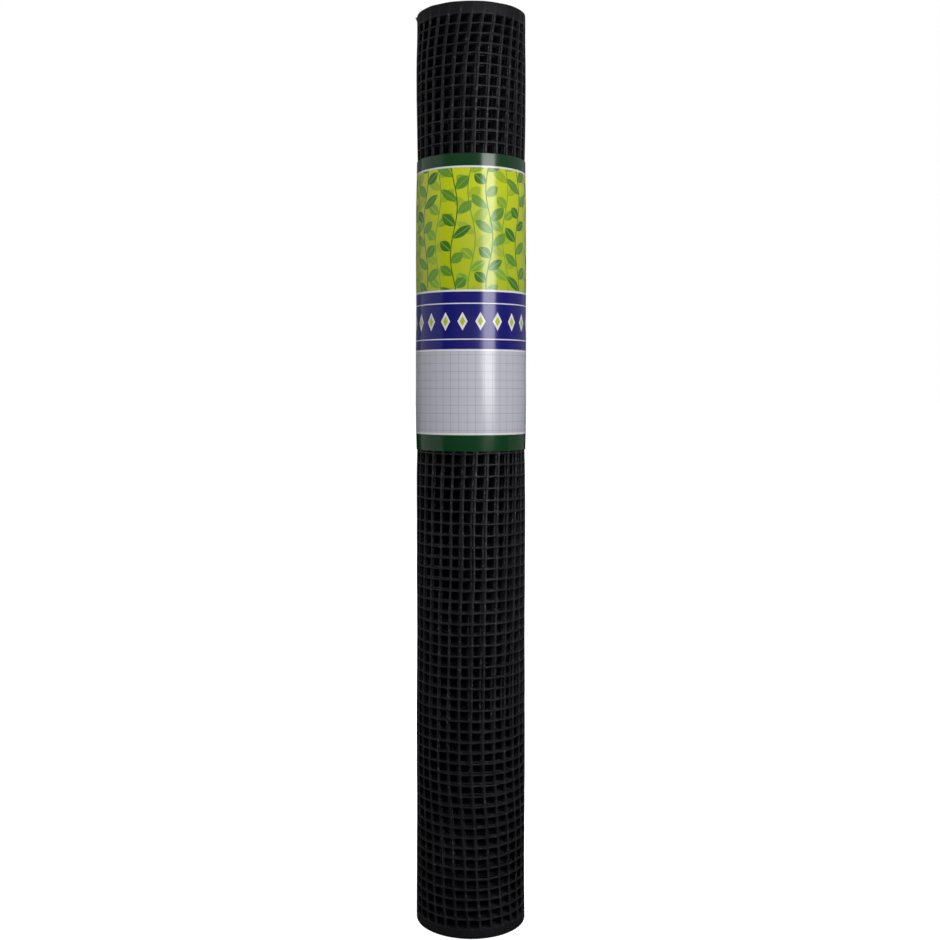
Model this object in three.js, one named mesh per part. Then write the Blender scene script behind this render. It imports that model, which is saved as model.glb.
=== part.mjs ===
// Roll of black extruded plastic netting, standing on end and held closed by a printed label round it.
// Millimetres, +Z up. The origin is the middle of the end that the roll stands on, and its front faces -Y.
import * as THREE from 'three';

// Net, as it comes off the roll
const netWidth = 914.4;
const netLength = 4572;
const netThickness = 1.3;
const meshPitch = 11.5;

// Winding: each turn is one mesh longer than the turn inside it, so the openings of all turns line up.
// The net's length sets how far in the middle of its thickness winds.
const rollRadius = 55.1;
const turnSpacing = meshPitch / (2 * Math.PI);
const outerMiddle = rollRadius - netThickness / 2;
const innerMiddle = Math.sqrt(outerMiddle ** 2 - (turnSpacing * netLength) / Math.PI);
const boreRadius = innerMiddle - netThickness / 2;
const turns = (outerMiddle - innerMiddle) / turnSpacing;
const ovalness = 0.25;

// Turns that stand clear: the outer turn from its loose end, and the innermost one from the net's inner end.
// Angles are in degrees, and a bearing counts from the front, positive towards the right.
const looseEndBearing = -101.5;
const looseTurnReach = 300;
const springReach = 37.5;
const innerTurnReach = 240;

// Printed label
const labelBottom = 475;
const labelTop = 766;
const labelThickness = 1;
const labelSeamTurn = 285;
const labelLap = 22.5;
const lapRamp = 30;
const stepBridge = 22.5;
const pieceGap = 0.3;

// Facets
const fullTurn = 360;
const outerFacet = 7.5;
const boreFacet = 10;

// Levels up the roll: how far the turns swell past the nominal radius, how far the loose end springs off,
// and how many degrees the skewed winding turns each level
const labelWaist = -0.35;
const labelLowerLean = -18.9;
const labelSeamBearing = looseEndBearing + labelLowerLean + labelSeamTurn;
const levels = [
  { height: 0, swell: -0.1, spring: 0.7, lean: -13.2 },
  { height: 65, swell: -0.3, spring: 0.6, lean: -18 },
  { height: 160, swell: 0, spring: 0.6, lean: -23.7 },
  { height: 245, swell: 0, spring: 0.5, lean: -23.8 },
  { height: 275, swell: -0.4, spring: 0.5, lean: -23.3 },
  { height: 320, swell: -0.2, spring: 0.4, lean: -22.5 },
  { height: 380, swell: 0.2, spring: 0.3, lean: -21.1 },
  { height: 450, swell: 0.2, spring: 0.1, lean: -19.5 },
  { height: labelBottom - 5, swell: labelWaist, spring: 0, lean: labelLowerLean },
  { height: labelTop + 5, swell: labelWaist, spring: 0, lean: -8.8 },
  { height: 800, swell: 0.15, spring: 0.2, lean: -7.8 },
  { height: 858, swell: 0.8, spring: 0.6, lean: -5.5 },
  { height: 900, swell: -0.25, spring: 1.7, lean: 0 },
  { height: netWidth, swell: 0.25, spring: 2.6, lean: 2.3 },
];

// Plan position at a radius and bearing
function onBearing(radius, bearing) {
  const angle = THREE.MathUtils.degToRad(bearing);
  return new THREE.Vector2(radius * Math.sin(angle), -radius * Math.cos(angle));
}

// Radius of the outer surface after some degrees from the loose end, inwards along the net
function outerRadius(turned) {
  const oval = ovalness * Math.sin(2 * THREE.MathUtils.degToRad(looseEndBearing + turned));
  return rollRadius - (turnSpacing * turned) / fullTurn + oval;
}

// Outer spiral: round the outer turn, on into the slit under it, and back along its inner face to its end
function rollOutline() {
  const points = [];
  for (let turned = 0; turned <= fullTurn + looseTurnReach; turned += outerFacet) {
    points.push(onBearing(outerRadius(turned), looseEndBearing + turned));
  }
  for (let turned = looseTurnReach; turned >= 0; turned -= outerFacet) {
    points.push(onBearing(outerRadius(turned) - netThickness, looseEndBearing + turned));
  }
  return points;
}

// Bore spiral: out along the innermost turn's inner face, on into the slit behind it, and back to its end
function boreOutline() {
  const innerEndBearing = looseEndBearing + fullTurn * turns;
  const innerRadius = (turned) => boreRadius + (turnSpacing * turned) / fullTurn;
  const points = [];
  for (let turned = 0; turned <= fullTurn + innerTurnReach; turned += boreFacet) {
    points.push(onBearing(innerRadius(turned), innerEndBearing - turned));
  }
  for (let turned = innerTurnReach; turned >= 0; turned -= boreFacet) {
    points.push(onBearing(innerRadius(turned) + netThickness, innerEndBearing - turned));
  }
  return points;
}

// Lifts an outer point by its level's swell and, near the loose end, by how far that springs off
function outerLift(point, radius, level) {
  const bearing = THREE.MathUtils.radToDeg(Math.atan2(point.x, -point.y));
  const halfFacet = outerFacet / 2;
  const turned = THREE.MathUtils.euclideanModulo(bearing - looseEndBearing + halfFacet, fullTurn) - halfFacet;
  const slit = turnSpacing - netThickness;
  const isOuterTurn = radius > outerRadius(turned + fullTurn) + slit / 2;
  const share = isOuterTurn ? Math.max(0, 1 - turned / springReach) : 0;
  return level.swell + level.spring * share ** 2;
}

// The wound net: the section is extruded one step for each level, then each step goes to its level's place
function netRollGeometry() {
  const section = new THREE.Shape(rollOutline());
  section.holes.push(new THREE.Path(boreOutline()));
  const rollAxis = new THREE.Vector3(0, 0, 1);
  const steps = levels.length - 1;
  const geometry = new THREE.ExtrudeGeometry(section, { depth: steps, steps, bevelEnabled: false });
  const points = geometry.attributes.position;
  const point = new THREE.Vector3();
  for (let i = 0; i < points.count; i += 1) {
    point.fromBufferAttribute(points, i);
    const level = levels[Math.round(point.z)];
    const radius = Math.hypot(point.x, point.y);
    const isOuter = radius > (boreRadius + rollRadius) / 2;
    const scale = isOuter ? 1 + outerLift(point, radius, level) / radius : 1;
    point.set(point.x * scale, point.y * scale, level.height);
    point.applyAxisAngle(rollAxis, THREE.MathUtils.degToRad(level.lean));
    points.setXYZ(i, point.x, point.y, point.z);
  }
  geometry.computeVertexNormals();
  return geometry;
}

// Inner radius of the label after some degrees from its seam: tight on the roll, bridging the loose end's step
function labelRadius(wound) {
  const bearing = labelSeamBearing + wound;
  const turned = THREE.MathUtils.euclideanModulo(bearing - looseEndBearing - labelLowerLean, fullTurn);
  const bridge = Math.max(0, 1 - (fullTurn - turned) / stepBridge) * turnSpacing;
  const lapShare = THREE.MathUtils.clamp((wound - fullTurn + lapRamp) / lapRamp, 0, 1);
  const lapRise = lapShare * (labelThickness + pieceGap);
  return outerRadius(turned) + bridge + labelWaist + pieceGap + lapRise;
}

// The label: one strip round the roll whose end laps over its start
function labelGeometry() {
  const inside = [];
  const outside = [];
  for (let wound = 0; wound <= fullTurn + labelLap; wound += outerFacet) {
    const radius = labelRadius(wound);
    inside.push(onBearing(radius, labelSeamBearing + wound));
    outside.unshift(onBearing(radius + labelThickness, labelSeamBearing + wound));
  }
  const section = new THREE.Shape([...inside, ...outside]);
  return new THREE.ExtrudeGeometry(section, { depth: labelTop - labelBottom, bevelEnabled: false });
}

const netPlastic = new THREE.MeshStandardMaterial({ color: 0x222325, roughness: 0.5, metalness: 0 });
const labelPrint = new THREE.MeshStandardMaterial({ color: 0x9fb31a, roughness: 0.25, metalness: 0 });

const netRoll = new THREE.Mesh(netRollGeometry(), netPlastic);
netRoll.name = 'net_roll';

const labelWrap = new THREE.Mesh(labelGeometry(), labelPrint);
labelWrap.name = 'label_wrap';
labelWrap.position.z = labelBottom;

const meshRoll = new THREE.Group();
meshRoll.add(netRoll, labelWrap);

export default meshRoll;
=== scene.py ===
import math

import bmesh
import bpy
import numpy as np
from mathutils import Matrix, Vector


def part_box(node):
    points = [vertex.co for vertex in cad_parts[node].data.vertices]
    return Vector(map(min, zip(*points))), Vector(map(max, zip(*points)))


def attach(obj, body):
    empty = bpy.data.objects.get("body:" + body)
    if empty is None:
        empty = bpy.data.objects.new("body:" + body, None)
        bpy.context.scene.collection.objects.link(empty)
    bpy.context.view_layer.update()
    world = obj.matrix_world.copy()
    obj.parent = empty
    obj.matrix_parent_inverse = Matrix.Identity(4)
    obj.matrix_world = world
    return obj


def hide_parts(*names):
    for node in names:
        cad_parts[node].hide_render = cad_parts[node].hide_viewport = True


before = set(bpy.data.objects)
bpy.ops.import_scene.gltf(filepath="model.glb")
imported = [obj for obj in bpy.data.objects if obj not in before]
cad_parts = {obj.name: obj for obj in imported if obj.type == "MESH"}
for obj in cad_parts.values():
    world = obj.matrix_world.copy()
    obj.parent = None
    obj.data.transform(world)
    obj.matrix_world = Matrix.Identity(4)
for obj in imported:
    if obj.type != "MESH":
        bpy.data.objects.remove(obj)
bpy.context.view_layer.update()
mm = 0.001
tiny = 0.001 * mm           # points this close are one
onCut = 0.1 * tiny          # a point this close to a cut lies on it
fullTurn = 2 * math.pi
print("frame loaded")


# Net: one extruded sheet, square openings between two solid edge strips

net = {
    "width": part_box("net_roll")[1].z,   # the roll stands as tall as the net is wide
    "length": 4572 * mm,
    "thickness": 1.85 * mm,             # at the upright strands
    "rowThickness": 1.15 * mm,          # halfway between them, on the outer turn
    "neckMargin": 0.75 * mm,            # how far the rows next to the strips thin into them
    "neckSlack": 0.1 * mm,              # points this close to halfway are thinned
    "meshPitch": 11.5 * mm,             # from one upright strand to the next
    "firstUpright": 4.2 * mm,           # from the cut at the loose end
    "uprightWidth": 2.6 * mm,
    "rowWidth": 1.9 * mm,
    "openingRows": 83,
    "topStrip": 11.2 * mm,
    "bottomStrip": 8.5 * mm,
    "stripThickness": 1.5 * mm,
    "cornerCut": 0.7 * mm,              # takes the sharp corners off the outer turn's openings
    "outerColumns": 31,                 # one turn and a little more, in finer mesh
    "secondColumns": 29,                # the turn that shows through the openings
    "innerRuns": 4,
    "runCut": 5.2 * mm,                 # each run ends this far past an upright strand
    "solidShare": 0.4,                  # of the sheet that is strand and not opening
}

# Strand section, from its ridge to its edge: share of the half width, share of the half thickness
roundProfile = [{"across": 0.66, "rise": 0.86}, {"across": 1, "rise": 0}]
plainProfile = [{"across": 1, "rise": 0}]

# Distance from one row down to the next, at heights up the roll, in mm
rowSpacing = [
    {"height": 8, "pitch": 9.6},
    {"height": 60, "pitch": 9.9},
    {"height": 150, "pitch": 10.4},
    {"height": 370, "pitch": 10.7},
    {"height": 395, "pitch": 11.5},
    {"height": 450, "pitch": 11.5},
    {"height": 480, "pitch": 11.2},
    {"height": 790, "pitch": 11.35},
    {"height": 835, "pitch": 10.8},
    {"height": 870, "pitch": 10},
    {"height": 905, "pitch": 9.9},
]


def rowLines():
    # heights of the top edge, of each row from the top strip down, and of the bottom edge
    heights = [row["height"] * mm for row in rowSpacing]
    pitches = [row["pitch"] * mm for row in rowSpacing]
    top, bottom = net["width"] - net["topStrip"], net["bottomStrip"]
    lines = [top]
    for _ in range(net["openingRows"]):
        lines.append(lines[-1] - np.interp(lines[-1], heights, pitches))
    stretch = (top - bottom) / (lines[0] - lines[-1])
    return [net["width"], *(top - (top - line) * stretch for line in lines), 0.0]


netLines = rowLines()
topRow, bottomRow = netLines[1], netLines[-2]
ridge = net["thickness"] / 2
stripFace = net["stripThickness"] / 2
# The flat net is squeezed along its length, so that one inset width serves both strands
squeeze = net["rowWidth"] / net["uprightWidth"]


def uprightAt(column):
    return net["firstUpright"] + column * net["meshPitch"]


def strandGrid(firstColumn, lastColumn):
    # x runs along the net from its loose end, y up its width, z off its middle
    columns, spaces = lastColumn - firstColumn + 1, len(netLines) - 1
    bm = bmesh.new()
    bmesh.ops.create_grid(bm, x_segments=columns, y_segments=spaces, size=0.5)
    for vert in bm.verts:
        column = firstColumn + round((vert.co.x + 0.5) * columns)
        line = round((0.5 - vert.co.y) * spaces)
        isEdge = line in (0, spaces)
        vert.co = (uprightAt(column) * squeeze, netLines[line], stripFace if isEdge else ridge)
    return bm


def stepDown(bm, profile):
    # each cell steps down from the strand's ridge to the opening's edge, or to the strip's face
    cells = bm.faces[:]
    openings = {cell for cell in cells if bottomRow < cell.calc_center_median().y < topRow}
    strips = set(cells) - openings
    reached = 0
    for step in profile:
        width = (step["across"] - reached) * net["rowWidth"] / 2
        bmesh.ops.inset_individual(bm, faces=cells, thickness=width, use_even_offset=True)
        reached = step["across"]
        for lowest, group in ((0, openings), (stripFace, strips)):
            for vert in {vert for cell in group for vert in cell.verts}:
                vert.co.z = max(lowest, step["rise"] * ridge)
    for cell in openings:
        cell.material_index = 1


def cutHalfway(bm, isOuter):
    # lets the strips, and the outer turn's rows, follow the curve of the roll
    longest = 0.5 * net["meshPitch"] * squeeze
    spans = [edge for edge in bm.edges if abs(edge.verts[0].co.x - edge.verts[1].co.x) > longest]
    if not isOuter:
        spans = [edge for edge in spans if not bottomRow < edge.verts[0].co.y < topRow]
    bmesh.ops.subdivide_edges(bm, edges=spans, cuts=1, use_grid_fill=True)


def thinRows(bm):
    neck = net["rowThickness"] / net["thickness"]
    lowest, highest = bottomRow - net["neckMargin"], topRow + net["neckMargin"]
    for vert in bm.verts:
        fromLoose = vert.co.x / squeeze - net["firstUpright"]
        fromHalfway = abs(fromLoose / net["meshPitch"] % 1 - 0.5) * net["meshPitch"]
        if fromHalfway < net["neckSlack"] and lowest < vert.co.y < highest:
            vert.co.z *= neck


def cutCorners(bm):
    rims = dict.fromkeys(vert for face in bm.faces if face.material_index for vert in face.verts)
    corners = [vert for vert in rims if len(vert.link_edges) == 3]
    bmesh.ops.bevel(bm, geom=corners, offset=net["cornerCut"], offset_type="OFFSET", affect="VERTICES",
                    segments=1, profile=0.5, material=-1, clamp_overlap=True)


def isAtLooseCorner(face):
    middle = face.calc_center_median()
    return middle.y > topRow and middle.x < uprightAt(0) * squeeze


def cutUnderLooseCorner(bm):
    # lets the top corner of the loose end bend out
    faces = [face for face in bm.faces if isAtLooseCorner(face)]
    geom = dict.fromkeys(item for face in faces for item in (face, *face.edges, *face.verts))
    below = net["width"] - winding["corner"]["up"]
    bmesh.ops.bisect_plane(bm, geom=list(geom), dist=onCut, plane_co=(0, below, 0), plane_no=(0, 1, 0))


def clearOpenings(bm):
    holes = [face for face in bm.faces if face.material_index and len(face.verts) > 3]
    bmesh.ops.delete(bm, geom=holes, context="FACES")
    for face in bm.faces:
        face.material_index = 0


def isOnEdge(edge):
    return all(min(vert.co.y, net["width"] - vert.co.y) < tiny for vert in edge.verts)


def addBack(bm):
    # the strips' outer edges turn down to the middle, then the back is the front mirrored
    edgeRim = [edge for edge in bm.edges if edge.is_boundary and isOnEdge(edge)]
    walls = bmesh.ops.extrude_edge_only(bm, edges=edgeRim)
    for item in walls["geom"]:
        if isinstance(item, bmesh.types.BMVert):
            item.co.z = 0
    geom = bm.verts[:] + bm.edges[:] + bm.faces[:]
    bmesh.ops.mirror(bm, geom=geom, matrix=Matrix(), merge_dist=tiny, axis="Z")


def cutAcross(bm, along, keepAfter):
    geom = bm.verts[:] + bm.edges[:] + bm.faces[:]
    cut = bmesh.ops.bisect_plane(bm, geom=geom, dist=onCut, plane_co=(along, 0, 0), plane_no=(1, 0, 0),
                                 clear_inner=keepAfter, clear_outer=not keepAfter)
    rim = [item for item in cut["geom_cut"] if isinstance(item, bmesh.types.BMEdge)]
    bmesh.ops.edgeloop_fill(bm, edges=rim)
    for edge in rim:
        edge.smooth = False


def flatRun(firstColumn, lastColumn, profile, isOuter):
    bm = strandGrid(firstColumn, lastColumn)
    stepDown(bm, profile)
    cutHalfway(bm, isOuter)
    if isOuter:
        thinRows(bm)
        cutCorners(bm)
        cutUnderLooseCorner(bm)
    clearOpenings(bm)
    addBack(bm)
    bmesh.ops.scale(bm, vec=(1 / squeeze, 1, 1), verts=bm.verts)
    cutAcross(bm, max(0, uprightAt(firstColumn) + net["runCut"]), True)
    cutAcross(bm, uprightAt(lastColumn) + net["runCut"], False)
    bmesh.ops.recalc_face_normals(bm, faces=bm.faces)
    for face in bm.faces:
        face.smooth = True
    for edge in bm.edges:
        edge.smooth = edge.smooth and not isOnEdge(edge)
    return bm


# Winding: the loose end runs up the left, and each turn is one mesh shorter than the turn round it

winding = {
    "radius": 55.6 * mm - net["thickness"] / 2,      # to the middle of the net, at its loose end
    "turnSpacing": net["meshPitch"] / fullTurn,
    "looseEnd": math.radians(-101.5),                # bearing, from the front towards the right
    "ovalness": 0.25 * mm,
    "springReach": math.radians(18),                 # of the outer turn, next to the loose end
    "corner": {"along": 4.5 * mm, "up": 3 * mm, "lift": 2.4 * mm, "rise": 3.5 * mm},   # bent out, top left
    "driftFrom": math.radians(220),                  # the turns below slip sideways from here
    "driftTo": math.radians(360),
    "deeperSlip": 0.3,                               # share more for each turn further in
    "deeperTurns": 4,                                # up to this many
    "swellEnds": 1 / 3,                              # share of the radius where the turns swell no more
    "smoothing": 12 * mm,
    "wave": {"reach": 70 * mm, "along": 0.4 * mm, "up": 0.4 * mm, "off": 0.05 * mm},
    "kink": {"reach": 17 * mm, "along": 0.2 * mm, "up": 0.2 * mm, "off": 0.05 * mm},
    "underWave": {"reach": 130 * mm, "along": 1.1 * mm, "up": 1.0 * mm, "off": 0},
    "underFrom": 2 / 3,                              # share of the first turn after which that wave grows
    "nestle": 0.25 * mm,                             # how far the turns below press up into the outer one
    "topRise": 0.4 * mm,                             # the turns below stand higher by up to these
    "bottomRise": 0.3 * mm,
    "riseRate": 0.37,                                # how fast that comes and goes along the winding
    "seed": 7,
    "seedGap": 10,                                   # from one kind of wave to the next
}

# Up the roll, heights and sizes in mm and lean in degrees: how far the skewed winding has turned, how far
# the turns swell, how far the loose end springs off, and how far the turns below slip sideways
levels = [
    {"height": -12, "lean": -11.8, "swell": 0.1, "spring": 0.2, "slip": -0.3},
    {"height": 12, "lean": -14.6, "swell": 0.1, "spring": 0.2, "slip": -0.3},
    {"height": 36, "lean": -16.9, "swell": 0, "spring": 0.2, "slip": -0.3},
    {"height": 60, "lean": -17.7, "swell": -0.05, "spring": 0.2, "slip": -0.2},
    {"height": 84, "lean": -18.8, "swell": 0.05, "spring": 0.2, "slip": -0.1},
    {"height": 108, "lean": -20.2, "swell": 0.1, "spring": 0.2, "slip": 0},
    {"height": 132, "lean": -21.9, "swell": 0.25, "spring": 0.2, "slip": 0.2},
    {"height": 156, "lean": -23.5, "swell": 0.35, "spring": 0.2, "slip": 0.4},
    {"height": 180, "lean": -24.4, "swell": 0.35, "spring": 0.2, "slip": 0.8},
    {"height": 245, "lean": -23.8, "swell": 0.35, "spring": 0.2, "slip": 1.4},
    {"height": 280, "lean": -23.2, "swell": 0, "spring": 0.2, "slip": 1.7},
    {"height": 320, "lean": -22.5, "swell": 0.2, "spring": 0.2, "slip": 1.7},
    {"height": 380, "lean": -21.1, "swell": 0.55, "spring": 0.2, "slip": 1.5},
    {"height": 450, "lean": -19.5, "swell": 0.55, "spring": 0.1, "slip": 1.5},
    {"height": 470, "lean": -18.9, "swell": 0, "spring": 0, "slip": 1.4},
    {"height": 485, "lean": -18.4, "swell": -0.4, "spring": 0, "slip": 1.4},
    {"height": 755, "lean": -9.4, "swell": -0.5, "spring": 0, "slip": 1.2},
    {"height": 772, "lean": -8.8, "swell": -0.2, "spring": 0, "slip": 1.2},
    {"height": 804, "lean": -7.7, "swell": 0.4, "spring": 0.1, "slip": 1.2},
    {"height": 836, "lean": -6.6, "swell": 0.75, "spring": 0.1, "slip": 0.9},
    {"height": 852, "lean": -5.9, "swell": 0.8, "spring": 0.1, "slip": 0.6},
    {"height": 868, "lean": -4.6, "swell": 0.7, "spring": 0.1, "slip": 0.4},
    {"height": 884, "lean": -2.5, "swell": 0.2, "spring": 0.1, "slip": 0.3},
    {"height": 900, "lean": 0, "swell": -0.2, "spring": 0.2, "slip": 0.3},
    {"height": 914, "lean": 2.3, "swell": 0.25, "spring": 0.4, "slip": 0.3},
    {"height": 928, "lean": 4.6, "swell": 0.7, "spring": 0.6, "slip": 0.3},
]

# Round the roll, bearings in degrees from the front towards the right: share of that slip, to the right
slipRound = [
    {"bearing": -90, "share": 1.4},
    {"bearing": -50, "share": 1.1},
    {"bearing": -25, "share": 0.3},
    {"bearing": -8, "share": -0.9},
    {"bearing": 5, "share": -1.2},
    {"bearing": 25, "share": -0.9},
    {"bearing": 45, "share": -1.5},
    {"bearing": 80, "share": -2.2},
    {"bearing": 130, "share": -1},
    {"bearing": 200, "share": 0.7},
]

slowWave = {"count": 7, "shortest": 0.7, "longest": 2}      # sine waves, and shares of the reach


def atHeight(height, column):
    heights = [level["height"] * mm for level in levels]
    values = [level[column] for level in levels]
    reach = winding["smoothing"]
    return sum(np.interp(height + shift, heights, values) for shift in (-reach, 0, reach)) / 3


def slipAt(bearing):
    bearings = [math.radians(place["bearing"]) for place in slipRound]
    return np.interp(bearing, bearings, [place["share"] for place in slipRound], period=fullTurn)


def ease(share):
    share = np.clip(share, 0, 1)
    return share * share * (3 - 2 * share)


def slowWaves(along, up, reach, seed):
    # a few crossing sine waves, about 1 high
    draw = np.random.default_rng(seed)
    total = np.zeros(len(along))
    for _ in range(slowWave["count"]):
        heading, start = draw.uniform(0, fullTurn, 2)
        length = reach * draw.uniform(slowWave["shortest"], slowWave["longest"])
        ahead = along * math.cos(heading) + up * math.sin(heading)
        total += np.sin(ahead * fullTurn / length + start)
    return total / math.sqrt(slowWave["count"])


def onRoll(radius, bearing, height):
    return np.stack([radius * np.sin(bearing), -radius * np.cos(bearing), height], axis=1)


def roundness(bearing):
    return winding["ovalness"] * np.sin(2 * bearing)


def unevenNet(along, up, off):
    # slow waves die out towards both ends of the roll, short kinks towards its foot alone
    toFoot = ease(up / winding["kink"]["reach"])
    toEdge = ease(np.minimum(up, net["width"] - up) / winding["wave"]["reach"])
    firstTurn = along / (fullTurn * winding["radius"])
    isUnder = ease((firstTurn - winding["underFrom"]) / (1 - winding["underFrom"]))
    shares = {"wave": toEdge, "kink": toFoot, "underWave": toEdge * isUnder}
    moved = {"along": along, "up": 0, "off": off}
    for number, (name, share) in enumerate(shares.items()):
        wave = winding[name]
        for step, way in enumerate(moved):
            seed = winding["seed"] + winding["seedGap"] * number + step
            moved[way] = moved[way] + slowWaves(along, up, wave["reach"], seed) * wave[way] * share
    return moved.values()


def woundNet(along, up, off):
    along, shiftUp, off = unevenNet(along, up, off)

    # length used up along a spiral whose radius falls evenly
    start, spacing = winding["radius"], winding["turnSpacing"]
    reached = np.sqrt(np.maximum(start ** 2 - spacing * along * 2 / fullTurn, 0))
    turned = (start - reached) * fullTurn / spacing
    radius = start - spacing * turned / fullTurn
    bearing = winding["looseEnd"] + turned

    # the loose end springs off, and the turns below it press up and slip sideways
    spring = np.clip(1 - turned / winding["springReach"], 0, 1) ** 2 * atHeight(up, "spring") * mm
    corner = winding["corner"]
    bent = ease(1 - along / corner["along"]) * ease(1 - (net["width"] - up) / corner["up"])
    under = ease((turned - winding["driftFrom"]) / (winding["driftTo"] - winding["driftFrom"]))
    outward = np.clip((radius / start - winding["swellEnds"]) / (1 - winding["swellEnds"]), 0, 1)
    swell = roundness(bearing) + atHeight(up, "swell") * mm
    radius = radius + off + spring + bent * corner["lift"] + outward * swell + under * winding["nestle"]
    bearing = bearing + np.radians(atHeight(up, "lean"))
    deeper = 1 + winding["deeperSlip"] * np.clip(turned / fullTurn - 1, 0, winding["deeperTurns"])
    bearing = bearing + under * deeper * slipAt(bearing) * atHeight(up, "slip") * mm / radius

    share = up / net["width"]
    stagger = under * (0.5 + 0.5 * np.sin(turned * winding["riseRate"]))
    rise = stagger * (winding["bottomRise"] * (1 - share) + winding["topRise"] * share)
    return onRoll(radius, bearing, up + shiftUp + rise + bent * corner["rise"])


def addBakeMap(mesh, across, up):
    corners = np.empty(len(mesh.loops), np.int32)
    mesh.loops.foreach_get("vertex_index", corners)
    places = np.stack([across[corners], up[corners]], axis=1).astype(np.float32)
    mesh.uv_layers.new(name="OFBake").uv.foreach_set("vector", places.ravel())


def addMask(mesh, name, values):
    mask = mesh.attributes.new(name, "FLOAT", "POINT")
    mask.data.foreach_set("value", values.astype(np.float32))


def flatPlaces(mesh):
    places = np.empty(len(mesh.vertices) * 3, np.float32)
    mesh.vertices.foreach_get("co", places)
    return places.reshape(-1, 3).astype(float).T


def movePoints(mesh, places):
    mesh.vertices.foreach_set("co", places.astype(np.float32).ravel())
    mesh.update()


def addPiece(name, mesh, node):
    piece = bpy.data.objects.new(name, mesh)
    bpy.context.scene.collection.objects.link(piece)
    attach(piece, "root")
    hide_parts(node)
    return piece


def netPiece(name, firstColumn, lastColumn, profile, isOuter):
    bm = flatRun(firstColumn, lastColumn, profile, isOuter)
    mesh = bpy.data.meshes.new(name)
    bm.to_mesh(mesh)
    bm.free()
    along, up, off = flatPlaces(mesh)
    runLength = along.max() - along.min()
    addBakeMap(mesh, (along - along.min()) / runLength, up / net["width"])
    inTop = up > net["width"] - net["topStrip"] + net["rowWidth"] / 2 - tiny
    inBottom = up < net["bottomStrip"] - net["rowWidth"] / 2 + tiny
    addMask(mesh, "crown", np.abs(off) * 2 / net["thickness"])      # 1 on the strands' ridges
    addMask(mesh, "strip", inTop | inBottom)
    movePoints(mesh, woundNet(along, up, off))
    piece = addPiece(name, mesh, "net_roll")
    print(name, "made,", round(runLength, 3), "m of net")
    return piece


lastColumn = int((net["length"] - net["firstUpright"] - net["runCut"]) / net["meshPitch"])
outerEnd = net["outerColumns"] - 1
secondEnd = outerEnd + net["secondColumns"]
outerTurn = netPiece("net_outer_turn", -1, outerEnd, roundProfile, True)
secondTurn = netPiece("net_second_turn", outerEnd, secondEnd, roundProfile, False)
runEnds = np.linspace(secondEnd, lastColumn, net["innerRuns"] + 1).round().astype(int)
innerTurns = []
for run, (first, last) in enumerate(zip(runEnds, runEnds[1:])):
    innerTurns.append(netPiece(f"net_inner_turns_{run + 1}", first, last, plainProfile, False))


# Shader building

def addNode(tree, kind, **settings):
    node = tree.nodes.new(kind)
    for name, value in settings.items():
        setattr(node, name, value)
    return node


def feed(tree, socket, value):
    if isinstance(value, bpy.types.NodeSocket):
        tree.links.new(value, socket)
    else:
        socket.default_value = value


def calc(tree, operation, *values):
    node = addNode(tree, "ShaderNodeMath", operation=operation)
    for socket, value in zip(node.inputs, values):
        feed(tree, socket, value)
    return node.outputs[0]


def ramp(tree, value, low, high, fromValue=0.0, toValue=1.0):
    node = addNode(tree, "ShaderNodeMapRange", interpolation_type="SMOOTHSTEP")
    for name, given in (("Value", value), ("From Min", low), ("From Max", high),
                        ("To Min", fromValue), ("To Max", toValue)):
        feed(tree, node.inputs[name], given)
    return node.outputs["Result"]


def mixColours(tree, share, under, over):
    node = addNode(tree, "ShaderNodeMix", data_type="RGBA", clamp_factor=True)
    feed(tree, node.inputs["Factor"], share)
    colourIn = [socket for socket in node.inputs if socket.type == "RGBA"]
    for socket, colour in zip(colourIn, (under, over)):
        feed(tree, socket, colour if isinstance(colour, bpy.types.NodeSocket) else (*colour, 1))
    return next(socket for socket in node.outputs if socket.type == "RGBA")


def noise(tree, where, perMetre, detail=2.0):
    node = addNode(tree, "ShaderNodeTexNoise")
    feed(tree, node.inputs["Vector"], where)
    feed(tree, node.inputs["Scale"], perMetre)
    feed(tree, node.inputs["Detail"], detail)
    return node.outputs["Fac"]


def onObject(tree):
    return addNode(tree, "ShaderNodeTexCoord").outputs["Object"]


def attribute(tree, name):
    return addNode(tree, "ShaderNodeAttribute", attribute_name=name).outputs["Fac"]


def addBump(tree, shader, height, depth, strength):
    bump = addNode(tree, "ShaderNodeBump")
    feed(tree, bump.inputs["Strength"], strength)
    feed(tree, bump.inputs["Distance"], depth)
    feed(tree, bump.inputs["Height"], height)
    feed(tree, shader.inputs["Normal"], bump.outputs["Normal"])


def newMaterial(name):
    material = bpy.data.materials.new(name)
    material.use_nodes = True
    tree = material.node_tree
    return material, tree, tree.nodes["Principled BSDF"]


# Fine grain and slow smudges, for every surface of the roll: the noise between these values goes from 0 to 1

marks = {
    "detail": 3,
    "grain": {"from": 0.3, "to": 0.7},
    "smudge": {"from": 0.35, "to": 0.7},
}


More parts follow.
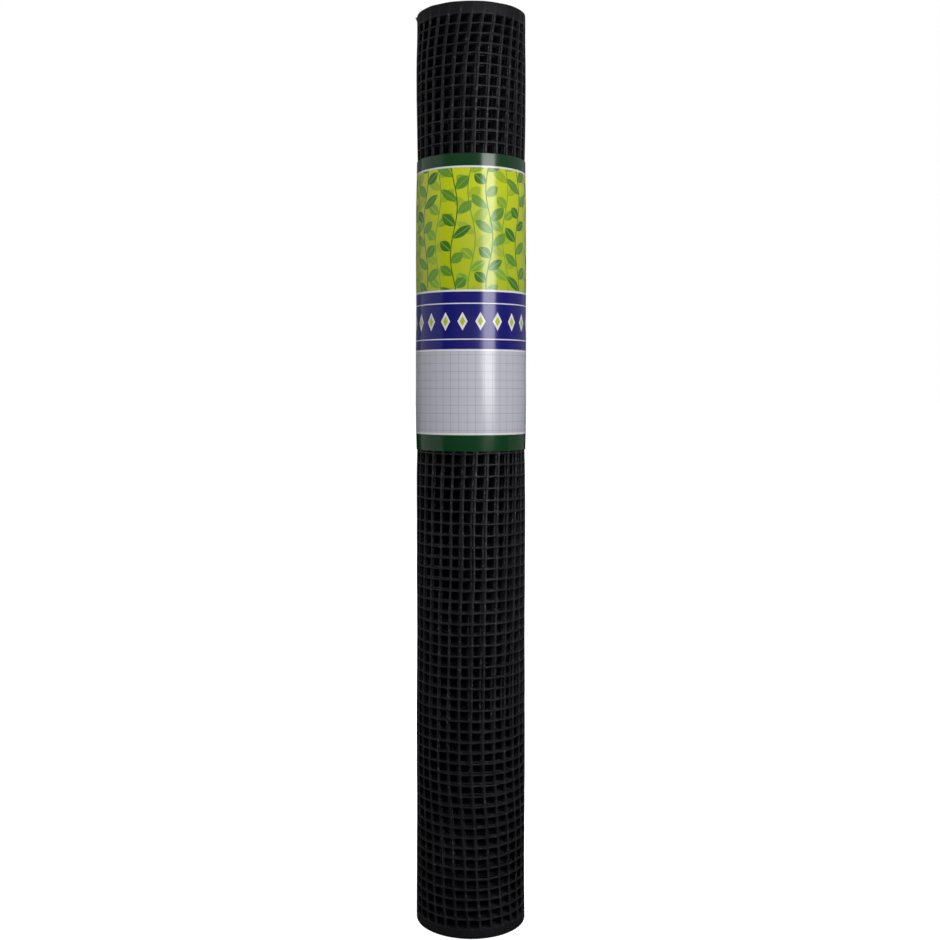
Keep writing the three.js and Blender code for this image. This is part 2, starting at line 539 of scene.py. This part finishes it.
def makeHandlingMarks():
    group = bpy.data.node_groups.new("handlingMarks", "ShaderNodeTree")
    for direction, kind, names in (("INPUT", "NodeSocketVector", ["Where"]),
                                   ("INPUT", "NodeSocketFloat", ["Grain Per Metre", "Smudge Per Metre"]),
                                   ("OUTPUT", "NodeSocketFloat", ["Grain", "Smudge"])):
        for name in names:
            group.interface.new_socket(name, in_out=direction, socket_type=kind)
    given = addNode(group, "NodeGroupInput").outputs
    result = addNode(group, "NodeGroupOutput").inputs
    grain = noise(group, given["Where"], given["Grain Per Metre"], marks["detail"])
    smudge = noise(group, given["Where"], given["Smudge Per Metre"], marks["detail"])
    feed(group, result["Grain"], ramp(group, grain, marks["grain"]["from"], marks["grain"]["to"]))
    feed(group, result["Smudge"], ramp(group, smudge, marks["smudge"]["from"], marks["smudge"]["to"]))
    return group


handlingMarks = makeHandlingMarks()


def addMarks(tree, finish):
    node = addNode(tree, "ShaderNodeGroup", node_tree=handlingMarks)
    feed(tree, node.inputs["Where"], onObject(tree))
    feed(tree, node.inputs["Grain Per Metre"], finish["grainPerMetre"])
    feed(tree, node.inputs["Smudge Per Metre"], finish["smudgePerMetre"])
    return node.outputs["Grain"], node.outputs["Smudge"]


# Black plastic of the net. The turns below the outer one get darker copies of it, as painted shade from the
# turns round them

plastic = {
    # a fresh tone, and a lighter tone on the ridges: partly wear, partly a painted highlight
    "outside": {"fresh": (0.012, 0.0123, 0.0145), "scuffAndSheen": (0.032, 0.0326, 0.038)},
    # the copies for the turns below are darker: painted shade
    "under": {"fresh": (0.01, 0.0102, 0.012), "scuffAndSheen": (0.02, 0.0204, 0.0238)},
    "inside": {"fresh": (0.008, 0.0082, 0.0096), "scuffAndSheen": (0.016, 0.0163, 0.019)},
    # darker on the strips: painted shade
    "strip": (0.0085, 0.0087, 0.0102),
    # pale flecks on the ridges: partly scuffs, partly painted glints
    "fleckAndGlint": (0.07, 0.071, 0.08),
    "shine": 0.16,
    "glossy": 0.38,
    "dull": 0.52,
    "stripGlossy": 0.55,
    "stripDull": 0.75,
    "grainShare": 0.4,              # of the gloss's patches, the rest is smudges
    "wearAndSheenFrom": 0.6,                # share of the strand's height above which it is scuffed and lighter: partly wear, partly a painted highlight
    "fleckAndGlintFrom": 0.6,               # noise above which pale flecks start, and where they are whole: partly scuffs, partly painted glints
    "fleckAndGlintTo": 0.7,
    "grainPerMetre": 900,
    "smudgePerMetre": 24,
    "lumpPerMetre": 170,
    "fleckAndGlintPerMetre": 330,
    "grainDepth": 0.03 * mm,
    "lumpDepth": 0.5 * mm,
}


def makeNetPlastic(side):
    material, tree, shader = newMaterial(f"net_plastic_{side}")
    grain, smudge = addMarks(tree, plastic)
    strip = attribute(tree, "strip")
    where = onObject(tree)

    # colour: lighter and flecked on the strands' ridges, partly scuffs and partly a painted highlight with
    # painted glints; plain on the strips
    crown = ramp(tree, attribute(tree, "crown"), plastic["wearAndSheenFrom"], 1)
    wearAndSheen = calc(tree, "MULTIPLY", crown, calc(tree, "MULTIPLY", smudge, grain))
    colour = mixColours(tree, wearAndSheen, plastic[side]["fresh"], plastic[side]["scuffAndSheen"])
    speckle = noise(tree, where, plastic["fleckAndGlintPerMetre"])
    fleckAndGlint = ramp(tree, speckle, plastic["fleckAndGlintFrom"], plastic["fleckAndGlintTo"])
    colour = mixColours(tree, calc(tree, "MULTIPLY", crown, fleckAndGlint), colour, plastic["fleckAndGlint"])
    # the strips' darker tone is painted shade
    feed(tree, shader.inputs["Base Color"], mixColours(tree, strip, colour, plastic["strip"]))

    # gloss, and the lumps of the extrusion
    fromSmudge = calc(tree, "MULTIPLY", smudge, 1 - plastic["grainShare"])
    patchy = calc(tree, "MULTIPLY_ADD", grain, plastic["grainShare"], fromSmudge)
    onStrand = ramp(tree, patchy, 0, 1, plastic["glossy"], plastic["dull"])
    onStrip = ramp(tree, patchy, 0, 1, plastic["stripGlossy"], plastic["stripDull"])
    fromStrand = calc(tree, "SUBTRACT", onStrip, onStrand)
    feed(tree, shader.inputs["Roughness"], calc(tree, "MULTIPLY_ADD", strip, fromStrand, onStrand))
    shader.inputs["Specular IOR Level"].default_value = plastic["shine"]
    lump = calc(tree, "MULTIPLY", noise(tree, where, plastic["lumpPerMetre"]), plastic["lumpDepth"])
    height = calc(tree, "MULTIPLY_ADD", grain, plastic["grainDepth"], lump)
    addBump(tree, shader, height, depth=1, strength=1)
    return material


# the second turn and the turns within get the darker copies: painted shade
for side, pieces in (("outside", [outerTurn]), ("under", [secondTurn]), ("inside", innerTurns)):
    netPlastic = makeNetPlastic(side)
    for piece in pieces:
        piece.data.materials.append(netPlastic)
print("net plastic ready")


# Label: one printed sheet round the middle of the roll, its end lapped over its start at the back

labelLow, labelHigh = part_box("label_wrap")
label = {
    "bottom": labelLow.z,
    "height": labelHigh.z - labelLow.z,
    "thickness": 0.35 * mm,
    "seam": math.radians(164.6),            # bearing of its start, from the front towards the right
    "lap": math.radians(22.5),
    "lapRamp": math.radians(30),
    "lapRise": 1.3,                         # times its thickness
    "stepBridge": math.radians(22.5),       # it slopes up to the net's loose end below
    "middleRadius": 55.4 * mm,
    "columns": 204,
    "rows": 28,
    "ripple": 0.12 * mm,
    "rippleReach": 80 * mm,
    "rippleSeed": 12,
    "sharpEdge": math.radians(45),
}

# Up the label, in mm: how far its inside stands off the nominal winding
labelBelly = [
    {"height": 0, "off": 0.3},
    {"height": 20, "off": 0.6},
    {"height": 50, "off": 0.95},
    {"height": 100, "off": 0.95},
    {"height": 145, "off": 0.6},
    {"height": 190, "off": 0.8},
    {"height": 245, "off": 0.7},
    {"height": 275, "off": 0.1},
    {"height": 291, "off": -0.1},
]


def labelRadius(wound, height):
    lean = np.radians(atHeight(height, "lean"))
    turned = np.mod(label["seam"] + wound - winding["looseEnd"] - lean, fullTurn)
    outside = winding["radius"] + net["thickness"] / 2 - winding["turnSpacing"] * turned / fullTurn
    outside += roundness(winding["looseEnd"] + turned)
    bridge = ease(1 - (fullTurn - turned) / label["stepBridge"]) * winding["turnSpacing"]
    lapped = ease((wound - fullTurn + label["lapRamp"]) / label["lapRamp"])
    heights = [level["height"] * mm for level in labelBelly]
    belly = np.interp(height - label["bottom"], heights, [level["off"] * mm for level in labelBelly])
    return outside + bridge + belly + lapped * label["lapRise"] * label["thickness"]


def flatLabel(length, height):
    bm = bmesh.new()
    bmesh.ops.create_grid(bm, x_segments=label["columns"], y_segments=label["rows"], size=0.5)
    bmesh.ops.translate(bm, verts=bm.verts, vec=(0.5, 0.5, 0))
    bmesh.ops.scale(bm, verts=bm.verts, vec=(length, height, 1))
    bmesh.ops.solidify(bm, geom=bm.faces[:], thickness=label["thickness"])
    bmesh.ops.recalc_face_normals(bm, faces=bm.faces)
    highest = max(vert.co.z for vert in bm.verts)
    bmesh.ops.translate(bm, verts=bm.verts, vec=(0, 0, -highest))
    return bm


def mapLabel(bm, length, height):
    # the print's map is in mm from the bottom edge and from the middle of the front
    printed = bm.faces.layers.float.new("printed")
    bakeMap = bm.loops.layers.uv.new("OFBake")
    printMap = bm.loops.layers.uv.new("print")
    front = (fullTurn - label["seam"]) * label["middleRadius"]
    for face in bm.faces:
        isFront = face.normal.z > 0.5
        face[printed] = 1.0 if isFront else 0.0
        face.smooth = True
        for corner in face.loops:
            x, y, _ = corner.vert.co
            corner[bakeMap].uv = (x / length / 2 + (0 if isFront else 0.5), y / height)
            corner[printMap].uv = ((x - front) / mm, y / mm)
    for edge in bm.edges:
        edge.smooth = edge.calc_face_angle(0) < label["sharpEdge"]


def makeLabel():
    length, height = (fullTurn + label["lap"]) * label["middleRadius"], label["height"]
    bm = flatLabel(length, height)
    mapLabel(bm, length, height)
    mesh = bpy.data.meshes.new("label_sheet")
    bm.to_mesh(mesh)
    bm.free()
    along, up, off = flatPlaces(mesh)
    wound, places = along / label["middleRadius"], up + label["bottom"]
    ripple = slowWaves(along, up, label["rippleReach"], label["rippleSeed"]) * label["ripple"]
    radius = labelRadius(wound, places) + label["thickness"] + off + ripple
    movePoints(mesh, onRoll(radius, label["seam"] + wound, places))
    piece = addPiece("label_sheet", mesh, "label_wrap")
    return piece


labelSheet = makeLabel()
print("label wrapped")


# Print of the label: bands up its height in mm, with plain leaves, lozenges and a ruled panel

ink = {
    "leafGreen": (0.035, 0.16, 0.012),
    "paleGreen": (0.16, 0.36, 0.03),
    "deepGreen": (0.004, 0.045, 0.012),
    "lime": (0.4, 0.5, 0),
    "paleLime": (0.52, 0.62, 0.005),
    "blue": (0.0025, 0.0028, 0.16),
    "white": (0.72, 0.73, 0.74),
    "grey": (0.49, 0.51, 0.57),
    "rule": (0.3, 0.33, 0.38),
}

bands = {
    "footTop": 16,
    "panelTop": 98,
    "bandTop": 156,
    "fieldTop": 277,
    "line": 1.8,                # white, on each of these
    "blur": 0.35,
}

vines = {
    "count": 10,                # round the roll, in each of two layers
    "stemSwing": 3.5,
    "stemPeriod": 96,
    "stemWidth": 1.1,
    "leafSpacing": 24,
    "leafFoot": 0.3,            # share of that spacing from a leaf's foot to the middle of its place
    "leafLength": 21,
    "leafShortest": 0.72,       # share of that length which the shortest leaf has
    "leafMore": 0.35,           # the most that another leaf has above it
    "leafWidth": 9.5,
    "leafTilt": math.radians(38),
    "ribWidth": 0.9,
    "veinRate": 2.6,            # radians a mm
    "veinShade": 0.12,
    "leafShade": 0.8,           # most that one leaf is paler than another
    "pickStep": 7.31,           # sets the leaves' random picks apart
}

lozenges = {
    "spacing": 17.4,
    "width": 5,
    "height": 9,
    "core": 0.55,               # share of its size in another colour
    "lineFrom": 17,             # fine lines over and under the row, from its middle
    "lineTo": 18,
}

rules = {"spacing": 8.2, "width": 0.45}

gloss = {
    "glossy": 0.17,
    "dull": 0.25,
    "shine": 0.42,
    "grainPerMetre": 700,
    "smudgePerMetre": 18,
    "grainDepth": 0.02 * mm,
    "grainStrength": 0.15,
}


def above(tree, value, edge):
    blur = bands["blur"] / 2
    return ramp(tree, value, edge - blur, edge + blur)


def between(tree, value, low, high):
    return calc(tree, "SUBTRACT", above(tree, value, low), above(tree, value, high))


def within(tree, distance, reach):
    # 1 where a distance is below a reach that may change from place to place
    return above(tree, calc(tree, "SUBTRACT", reach, distance), 0)


def repeated(tree, value, spacing):
    # the repeat's number, and the place in it from its middle
    scaled = calc(tree, "DIVIDE", value, spacing)
    number = calc(tree, "FLOOR", scaled)
    place = calc(tree, "MULTIPLY", calc(tree, "SUBTRACT", calc(tree, "FRACT", scaled), 0.5), spacing)
    return number, place


def pick(tree, number, other):
    node = addNode(tree, "ShaderNodeTexWhiteNoise", noise_dimensions="1D")
    feed(tree, node.inputs["W"], calc(tree, "MULTIPLY_ADD", number, vines["pickStep"], other))
    return node.outputs["Value"]


def leafPrint(tree, u, v, under, vineSpacing, shift, leafInk, ribInk):
    # a swinging stem up each vine
    vine, place = repeated(tree, calc(tree, "ADD", u, shift), vineSpacing)
    start = calc(tree, "MULTIPLY", pick(tree, vine, shift), vines["stemPeriod"])
    upVine = calc(tree, "ADD", v, start)
    swing = calc(tree, "MULTIPLY", upVine, fullTurn / vines["stemPeriod"])
    fromStem = calc(tree, "MULTIPLY_ADD", calc(tree, "SINE", swing), vines["stemSwing"], place)
    out = calc(tree, "ABSOLUTE", fromStem)

    # leaves on both sides by turns, each along its own tilted rib
    isRight = calc(tree, "GREATER_THAN", fromStem, 0)
    upStem = calc(tree, "MULTIPLY_ADD", isRight, vines["leafSpacing"] / 2, upVine)
    leaf, along = repeated(tree, upStem, vines["leafSpacing"])
    rise = calc(tree, "ADD", along, vines["leafSpacing"] * vines["leafFoot"])
    cos, sin = math.cos(vines["leafTilt"]), math.sin(vines["leafTilt"])
    toTip = calc(tree, "MULTIPLY_ADD", out, cos, calc(tree, "MULTIPLY", rise, sin))
    offRib = calc(tree, "SUBTRACT", calc(tree, "MULTIPLY", rise, cos), calc(tree, "MULTIPLY", out, sin))
    fromRib = calc(tree, "ABSOLUTE", offRib)
    shortest = vines["leafShortest"] * vines["leafLength"]
    more = vines["leafMore"] * vines["leafLength"]
    length = calc(tree, "MULTIPLY_ADD", pick(tree, leaf, vine), more, shortest)
    share = calc(tree, "DIVIDE", toTip, length)
    belly = calc(tree, "MULTIPLY", share, calc(tree, "SUBTRACT", 1, share))
    inLeaf = within(tree, fromRib, calc(tree, "MULTIPLY", belly, 2 * vines["leafWidth"]))

    # shade of each leaf, with fine veins off its rib
    alongVein = calc(tree, "SUBTRACT", toTip, fromRib)
    vein = calc(tree, "SINE", calc(tree, "MULTIPLY", alongVein, vines["veinRate"]))
    paler = calc(tree, "MULTIPLY", pick(tree, leaf, isRight), vines["leafShade"])
    colour = mixColours(tree, calc(tree, "MULTIPLY_ADD", vein, vines["veinShade"], paler), leafInk, ribInk)
    colour = mixColours(tree, within(tree, fromRib, vines["ribWidth"] / 2), colour, ribInk)
    printed = mixColours(tree, inLeaf, under, colour)
    return mixColours(tree, within(tree, out, vines["stemWidth"] / 2), printed, leafInk)


def fieldPrint(tree, u, v):
    # lime, paler towards its top, with pale vines behind dark ones
    vineSpacing = fullTurn * label["middleRadius"] / mm / vines["count"]
    upField = ramp(tree, v, bands["bandTop"], bands["fieldTop"])
    field = mixColours(tree, upField, ink["lime"], ink["paleLime"])
    field = leafPrint(tree, u, v, field, vineSpacing, vineSpacing / 2, ink["paleGreen"], ink["lime"])
    return leafPrint(tree, u, v, field, vineSpacing, 0.0, ink["leafGreen"], ink["paleGreen"])


def bandPrint(tree, u, v):
    # blue, with a row of lozenges between two fine lines
    middle = (bands["panelTop"] + bands["bandTop"]) / 2
    _, across = repeated(tree, u, lozenges["spacing"])
    fromMiddle = calc(tree, "ABSOLUTE", calc(tree, "SUBTRACT", v, middle))
    slope = lozenges["height"] / lozenges["width"]
    corner = calc(tree, "MULTIPLY_ADD", calc(tree, "ABSOLUTE", across), slope, fromMiddle)
    band = mixColours(tree, within(tree, corner, lozenges["height"]), ink["blue"], ink["white"])
    core = within(tree, corner, lozenges["core"] * lozenges["height"])
    band = mixColours(tree, core, band, ink["lime"])
    fineLine = between(tree, fromMiddle, lozenges["lineFrom"], lozenges["lineTo"])
    return mixColours(tree, fineLine, band, ink["white"])


def panelPrint(tree, u, v):
    # pale, ruled in squares
    _, ruleAcross = repeated(tree, u, rules["spacing"])
    _, ruleUp = repeated(tree, v, rules["spacing"])
    nearest = calc(tree, "MINIMUM", calc(tree, "ABSOLUTE", ruleAcross), calc(tree, "ABSOLUTE", ruleUp))
    return mixColours(tree, within(tree, nearest, rules["width"] / 2), ink["grey"], ink["rule"])


def makeLabelPrint():
    material, tree, shader = newMaterial("label_print")
    place = addNode(tree, "ShaderNodeSeparateXYZ")
    feed(tree, place.inputs["Vector"], addNode(tree, "ShaderNodeUVMap", uv_map="print").outputs["UV"])
    u, v = place.outputs["X"], place.outputs["Y"]

    # bands from the foot up, with a white line where each starts, and a white back
    colour = mixColours(tree, above(tree, v, bands["footTop"]), ink["deepGreen"], panelPrint(tree, u, v))
    colour = mixColours(tree, above(tree, v, bands["panelTop"]), colour, bandPrint(tree, u, v))
    colour = mixColours(tree, above(tree, v, bands["bandTop"]), colour, fieldPrint(tree, u, v))
    colour = mixColours(tree, above(tree, v, bands["fieldTop"]), colour, ink["deepGreen"])
    for edge in ("footTop", "panelTop", "bandTop", "fieldTop"):
        whiteLine = between(tree, v, bands[edge], bands[edge] + bands["line"])
        colour = mixColours(tree, whiteLine, colour, ink["white"])
    colour = mixColours(tree, attribute(tree, "printed"), ink["white"], colour)
    feed(tree, shader.inputs["Base Color"], colour)

    grain, smudge = addMarks(tree, gloss)
    feed(tree, shader.inputs["Roughness"], ramp(tree, smudge, 0, 1, gloss["glossy"], gloss["dull"]))
    shader.inputs["Specular IOR Level"].default_value = gloss["shine"]
    addBump(tree, shader, grain, gloss["grainDepth"], gloss["grainStrength"])
    return material


labelSheet.data.materials.append(makeLabelPrint())
print("label printed")


# Studio: a pale floor and soft lights. The key only draws the streak down the label, and the two fills only
# give the net and the print their tone

studio = {
    "floorRadius": 40,
    "floorSides": 96,
    "floorGlow": {"near": 0.7, "far": 1.0, "from": 0.4, "to": 2.5},     # paler away from the roll
    "floorTone": (0.8, 0.8, 0.8),
    "floorBounce": (0.06, 0.06, 0.06),                                  # its tone to the roll
    "backdrop": 1.0,
    "ambient": 0.15,
    "aimHeight": 0.53,
    "lampTint": (1.0, 0.96, 0.98),
}

# Bearings in degrees from the front towards the right, places and sizes in metres
lights = [
    {"name": "key", "bearing": 35, "distance": 0.85, "height": 0.725, "wide": 0.4, "tall": 0.49,
     "power": 6.1, "tone": False, "gloss": True},
    {"name": "fill", "bearing": 22, "distance": 0.65, "height": 0.66, "wide": 2.2, "tall": 0.6,
     "power": 8.4, "tone": True, "gloss": False},
    {"name": "overhead", "bearing": -10, "distance": 0.75, "height": 1.75, "wide": 1.0, "tall": 1.0,
     "power": 2.5, "tone": True, "gloss": True},
    {"name": "left", "bearing": -95, "distance": 2.0, "height": 0.65, "wide": 2.6, "tall": 1.8,
     "power": 7.2, "tone": True, "gloss": True},
    {"name": "right", "bearing": 115, "distance": 2.0, "height": 0.85, "wide": 2.6, "tall": 1.8,
     "power": 3.5, "tone": True, "gloss": True},
    {"name": "back", "bearing": 180, "distance": 1.2, "height": 2.3, "wide": 1.5, "tall": 1.5,
     "power": 30, "tone": True, "gloss": True},
    {"name": "backFill", "bearing": 200, "distance": 1.0, "height": 0.62, "wide": 0.6, "tall": 0.6,
     "power": 5, "tone": True, "gloss": False},
]


def dullCoat(tree, colour):
    coat = addNode(tree, "ShaderNodeBsdfDiffuse")
    feed(tree, coat.inputs["Color"], (*colour, 1))
    return coat.outputs[0]


def makeFloorPaint():
    # bright to the camera, and nearly black to the roll that stands on it
    material, tree, shader = newMaterial("floor")
    tree.nodes.remove(shader)
    fromRoll = addNode(tree, "ShaderNodeVectorMath", operation="LENGTH")
    feed(tree, fromRoll.inputs[0], onObject(tree))
    spread = studio["floorGlow"]
    strength = ramp(tree, fromRoll.outputs["Value"], spread["from"], spread["to"],
                    spread["near"], spread["far"])
    glow = addNode(tree, "ShaderNodeEmission")
    feed(tree, glow.inputs["Strength"], strength)
    seen = addNode(tree, "ShaderNodeAddShader")
    feed(tree, seen.inputs[0], dullCoat(tree, studio["floorTone"]))
    feed(tree, seen.inputs[1], glow.outputs[0])
    byRay = addNode(tree, "ShaderNodeMixShader")
    feed(tree, byRay.inputs[0], addNode(tree, "ShaderNodeLightPath").outputs["Is Camera Ray"])
    feed(tree, byRay.inputs[1], dullCoat(tree, studio["floorBounce"]))
    feed(tree, byRay.inputs[2], seen.outputs[0])
    feed(tree, tree.nodes["Material Output"].inputs["Surface"], byRay.outputs[0])
    return material


def makeFloor():
    bm = bmesh.new()
    bmesh.ops.create_circle(bm, cap_ends=True, segments=studio["floorSides"], radius=studio["floorRadius"])
    mesh = bpy.data.meshes.new("floor")
    bm.to_mesh(mesh)
    bm.free()
    mesh.materials.append(makeFloorPaint())
    floor = bpy.data.objects.new("floor", mesh)
    bpy.context.scene.collection.objects.link(floor)


def makeWorld():
    world = bpy.data.worlds.new("studio")
    world.use_nodes = True
    tree = world.node_tree
    isSeen = addNode(tree, "ShaderNodeLightPath").outputs["Is Camera Ray"]
    background = tree.nodes["Background"]
    background.inputs["Color"].default_value = (1, 1, 1, 1)
    feed(tree, background.inputs["Strength"], ramp(tree, isSeen, 0, 1, studio["ambient"], studio["backdrop"]))
    bpy.context.scene.world = world


def makeLight(setting):
    lamp = bpy.data.lights.new(setting["name"], "AREA")
    lamp.shape = "RECTANGLE"
    lamp.size, lamp.size_y = setting["wide"], setting["tall"]
    lamp.energy = setting["power"]
    lamp.color = studio["lampTint"]
    light = bpy.data.objects.new(setting["name"], lamp)
    bpy.context.scene.collection.objects.link(light)
    bearing = math.radians(setting["bearing"])
    place = Vector((math.sin(bearing), -math.cos(bearing), 0)) * setting["distance"]
    place.z = setting["height"]
    light.location = place
    aim = Vector((0, 0, studio["aimHeight"])) - place
    light.rotation_euler = aim.to_track_quat("-Z", "Y").to_euler()
    light.visible_camera = False
    light.visible_diffuse = setting["tone"]
    light.visible_glossy = setting["gloss"]


# Camera: level, in front of the label, as far off and as high as the photograph's outline of the roll gives

camera = {
    "across": -1.4 * mm,
    "distance": 1.230,
    "height": 0.5345,
    "lens": 46.19,
    "sensor": 36,
    "horizon": 390.5,       # pixels down the picture
    "picture": 940,
    "roll": math.radians(0.04),
    "clipEnd": 200,
}


def makeCamera():
    view = bpy.data.cameras.new("camera")
    view.lens, view.sensor_width = camera["lens"], camera["sensor"]
    view.shift_y = (camera["horizon"] - camera["picture"] / 2) / camera["picture"]
    view.clip_end = camera["clipEnd"]
    eye = bpy.data.objects.new("camera", view)
    eye.location = (camera["across"], -camera["distance"], camera["height"])
    level, roll = Matrix.Rotation(math.pi / 2, 3, "X"), Matrix.Rotation(camera["roll"], 3, "Z")
    eye.rotation_euler = (level @ roll).to_euler()
    bpy.context.scene.collection.objects.link(eye)
    bpy.context.scene.camera = eye


makeFloor()
makeWorld()
for setting in lights:
    makeLight(setting)
makeCamera()
bpy.context.scene.view_settings.view_transform = "Standard"
print("studio set")
